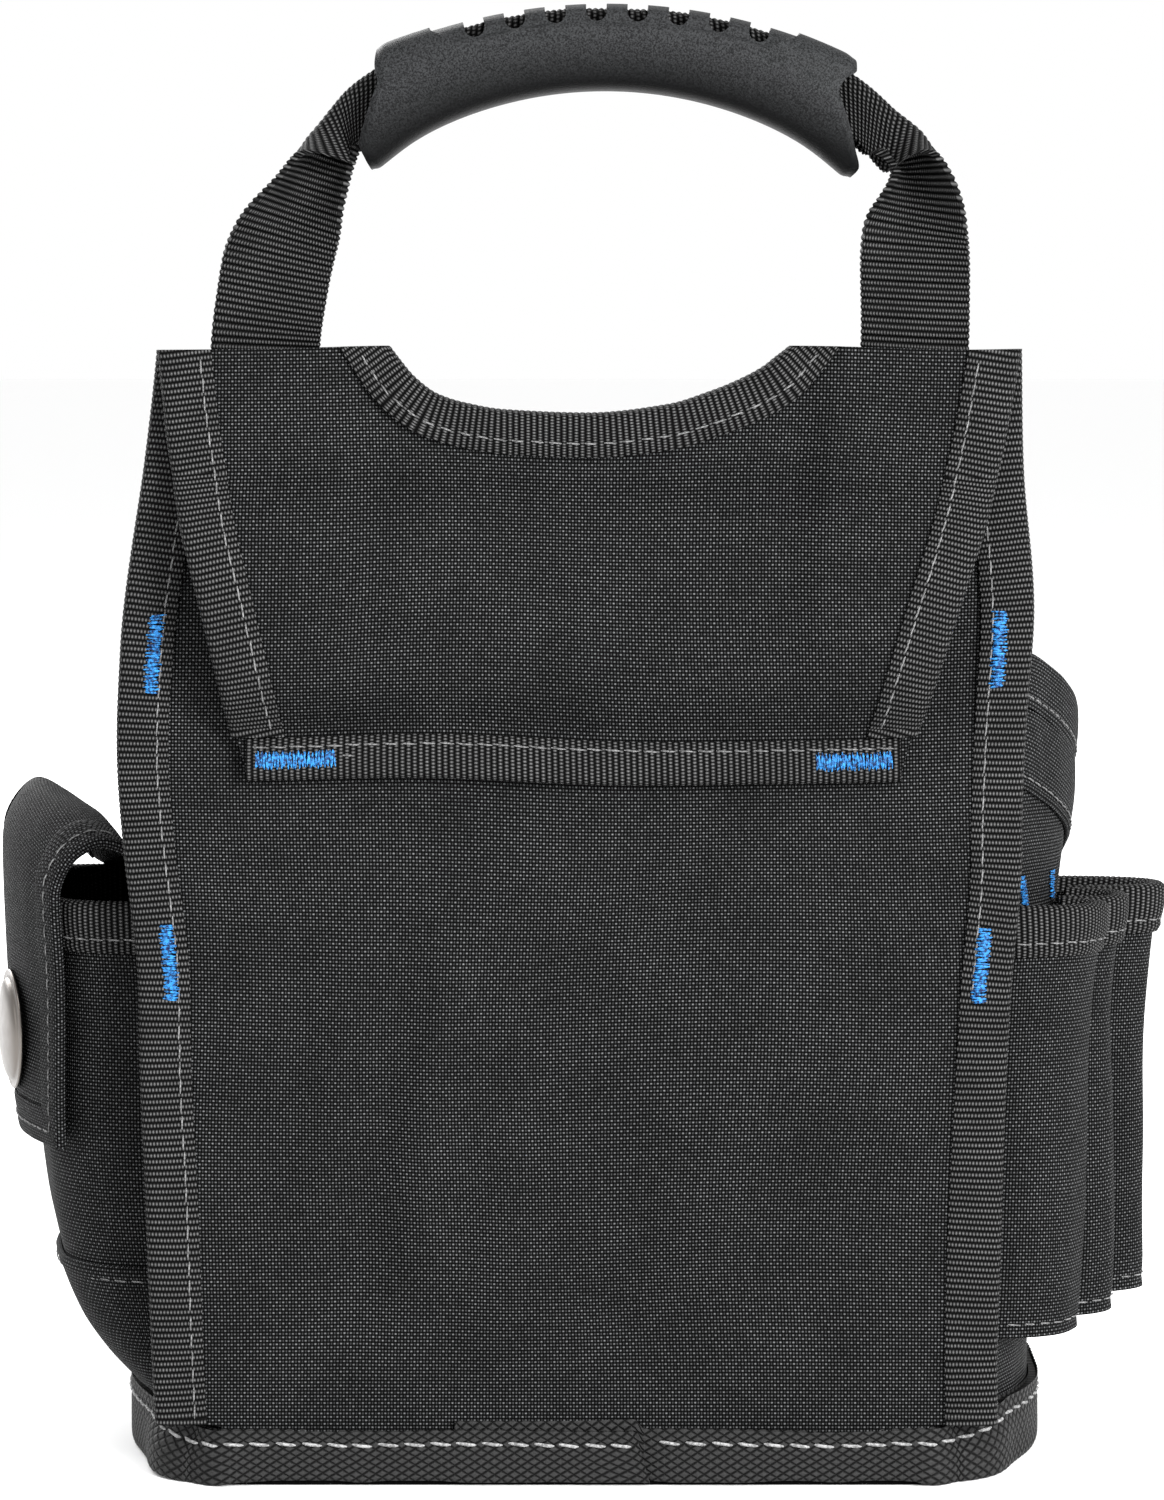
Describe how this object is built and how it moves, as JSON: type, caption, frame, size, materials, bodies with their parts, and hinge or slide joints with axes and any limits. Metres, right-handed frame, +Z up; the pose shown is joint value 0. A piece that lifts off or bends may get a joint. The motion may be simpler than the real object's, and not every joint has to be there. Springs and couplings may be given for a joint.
{
  "type": "utility pouch",
  "caption": "Open-topped cloth tool pouch with a gripped webbing handle, a belt flap on its back, a snap-flap side pocket and tool loops on the other side.",
  "frame": {"origin": "middle of the flat underside of the base", "axes": "+Z up towards the handle, -Y towards the belt side, +X to the right of someone who faces the belt side"},
  "size_m": [0.2929, 0.1286, 0.3506],
  "materials": {
    "cloth": "black coated plain weave",
    "tape": "dark grey ribbed binding tape",
    "webbing": "black ribbed webbing",
    "vinyl": "black embossed vinyl",
    "grip_plastic": "satin black moulded plastic",
    "nickel": "brushed nickel",
    "thread": "pale grey sewing thread",
    "bartack_thread": "blue bar-tack thread"
  },
  "bodies": {
    "root": {"base_panel": "cloth", "base_strip": "vinyl", "back_panel": "cloth", "body_wall": "cloth", "mouth_binding": "tape", "mouth_band": "cloth", "belt_flap": "cloth", "belt_flap_binding_bottom": "tape", "neck_binding": "tape", "back_binding_left": "tape", "belt_flap_binding_left": "tape", "back_binding_right": "tape", "belt_flap_binding_right": "tape", "handle_strap": "webbing", "handle_grip": "grip_plastic", "tool_loop_near": "cloth", "tool_loop_binding_near": "tape", "tool_loop_middle": "cloth", "tool_loop_binding_middle": "tape", "tool_loop_far": "cloth", "tool_loop_binding_far": "tape", "side_pocket": "cloth", "side_pocket_binding": "tape", "side_pocket_patch": "cloth", "pocket_flap": "cloth", "pocket_flap_binding": "tape", "snap_cap": "nickel", "snap_stud": "nickel"}
  },
  "joints": []
}
